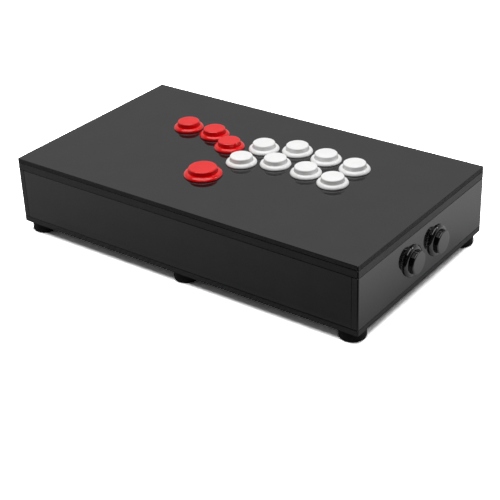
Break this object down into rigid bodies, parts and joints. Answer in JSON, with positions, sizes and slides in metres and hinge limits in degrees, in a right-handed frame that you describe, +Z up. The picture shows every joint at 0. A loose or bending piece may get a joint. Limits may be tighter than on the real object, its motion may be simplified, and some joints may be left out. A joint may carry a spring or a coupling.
{
  "type": "all-button arcade controller",
  "caption": "Low black box with snap-in push buttons on top in place of a stick, two more in its right side, and rubber feet.",
  "frame": {"origin": "on the surface that the feet rest on, under the middle of the whole object, side buttons included", "axes": "+X to the player's right along the long side, +Y away from the player, +Z up"},
  "size_m": [0.3672, 0.205, 0.08],
  "materials": {
    "case_black": "black sheet with a low gloss",
    "button_red": "moulded red, glossy",
    "button_white": "moulded white, glossy",
    "button_black": "moulded black, glossy",
    "switch_plastic": "moulded black, matt",
    "post_black": "sawn black bar",
    "foot_rubber": "matt black rubber",
    "screw_steel": "bright zinc plate",
    "board_green": "green solder mask",
    "component_black": "black mouldings",
    "standoff_brass": "turned brass",
    "socket_metal": "tin plate",
    "socket_plastic": "black moulding",
    "wire_insulation": "black wire insulation"
  },
  "bodies": {
    "root": {"left_housing": "button_red", "left_switch": "switch_plastic", "down_housing": "button_red", "down_switch": "switch_plastic", "right_housing": "button_red", "right_switch": "switch_plastic", "jump_housing": "button_red", "jump_switch": "switch_plastic", "action_1_housing": "button_white", "action_1_switch": "switch_plastic", "action_2_housing": "button_white", "action_2_switch": "switch_plastic", "action_3_housing": "button_white", "action_3_switch": "switch_plastic", "action_4_housing": "button_white", "action_4_switch": "switch_plastic", "action_5_housing": "button_white", "action_5_switch": "switch_plastic", "action_6_housing": "button_white", "action_6_switch": "switch_plastic", "action_7_housing": "button_white", "action_7_switch": "switch_plastic", "action_8_housing": "button_white", "action_8_switch": "switch_plastic", "side_1_housing": "button_black", "side_1_switch": "switch_plastic", "side_2_housing": "button_black", "side_2_switch": "switch_plastic", "top_panel": "case_black", "top_frame": "case_black", "front_panel": "case_black", "back_panel": "case_black", "left_panel": "case_black", "right_panel": "case_black", "base_plate": "case_black", "posts": "post_black", "rubber_feet": "foot_rubber", "foot_screws": "screw_steel", "frame_screws": "screw_steel", "circuit_board": "board_green", "board_parts": "component_black", "board_standoffs": "standoff_brass", "board_screws": "screw_steel", "usb_shell": "socket_metal", "usb_insert": "socket_plastic", "wiring_loom": "wire_insulation"},
    "left_cap": {"left_plunger": "button_red"},
    "down_cap": {"down_plunger": "button_red"},
    "right_cap": {"right_plunger": "button_red"},
    "jump_cap": {"jump_plunger": "button_red"},
    "action_1_cap": {"action_1_plunger": "button_white"},
    "action_2_cap": {"action_2_plunger": "button_white"},
    "action_3_cap": {"action_3_plunger": "button_white"},
    "action_4_cap": {"action_4_plunger": "button_white"},
    "action_5_cap": {"action_5_plunger": "button_white"},
    "action_6_cap": {"action_6_plunger": "button_white"},
    "action_7_cap": {"action_7_plunger": "button_white"},
    "action_8_cap": {"action_8_plunger": "button_white"},
    "side_1_cap": {"side_1_plunger": "button_black"},
    "side_2_cap": {"side_2_plunger": "button_black"}
  },
  "joints": [
    {"name": "left_press", "type": "slide", "parent": "root", "child": "left_cap", "axis": [0, 0, -1], "range_m": [0, 0.0035], "stiffness_N_per_m": 200, "springref_m": -0.003},
    {"name": "down_press", "type": "slide", "parent": "root", "child": "down_cap", "axis": [0, 0, -1], "range_m": [0, 0.0035], "stiffness_N_per_m": 200, "springref_m": -0.003},
    {"name": "right_press", "type": "slide", "parent": "root", "child": "right_cap", "axis": [0, 0, -1], "range_m": [0, 0.0035], "stiffness_N_per_m": 200, "springref_m": -0.003},
    {"name": "jump_press", "type": "slide", "parent": "root", "child": "jump_cap", "axis": [0, 0, -1], "range_m": [0, 0.0035], "stiffness_N_per_m": 200, "springref_m": -0.003},
    {"name": "action_1_press", "type": "slide", "parent": "root", "child": "action_1_cap", "axis": [0, 0, -1], "range_m": [0, 0.0035], "stiffness_N_per_m": 200, "springref_m": -0.003},
    {"name": "action_2_press", "type": "slide", "parent": "root", "child": "action_2_cap", "axis": [0, 0, -1], "range_m": [0, 0.0035], "stiffness_N_per_m": 200, "springref_m": -0.003},
    {"name": "action_3_press", "type": "slide", "parent": "root", "child": "action_3_cap", "axis": [0, 0, -1], "range_m": [0, 0.0035], "stiffness_N_per_m": 200, "springref_m": -0.003},
    {"name": "action_4_press", "type": "slide", "parent": "root", "child": "action_4_cap", "axis": [0, 0, -1], "range_m": [0, 0.0035], "stiffness_N_per_m": 200, "springref_m": -0.003},
    {"name": "action_5_press", "type": "slide", "parent": "root", "child": "action_5_cap", "axis": [0, 0, -1], "range_m": [0, 0.0035], "stiffness_N_per_m": 200, "springref_m": -0.003},
    {"name": "action_6_press", "type": "slide", "parent": "root", "child": "action_6_cap", "axis": [0, 0, -1], "range_m": [0, 0.0035], "stiffness_N_per_m": 200, "springref_m": -0.003},
    {"name": "action_7_press", "type": "slide", "parent": "root", "child": "action_7_cap", "axis": [0, 0, -1], "range_m": [0, 0.0035], "stiffness_N_per_m": 200, "springref_m": -0.003},
    {"name": "action_8_press", "type": "slide", "parent": "root", "child": "action_8_cap", "axis": [0, 0, -1], "range_m": [0, 0.0035], "stiffness_N_per_m": 200, "springref_m": -0.003},
    {"name": "side_1_press", "type": "slide", "parent": "root", "child": "side_1_cap", "axis": [-1, 0, 0], "range_m": [0, 0.0035], "stiffness_N_per_m": 200, "springref_m": -0.003},
    {"name": "side_2_press", "type": "slide", "parent": "root", "child": "side_2_cap", "axis": [-1, 0, 0], "range_m": [0, 0.0035], "stiffness_N_per_m": 200, "springref_m": -0.003}
  ]
}
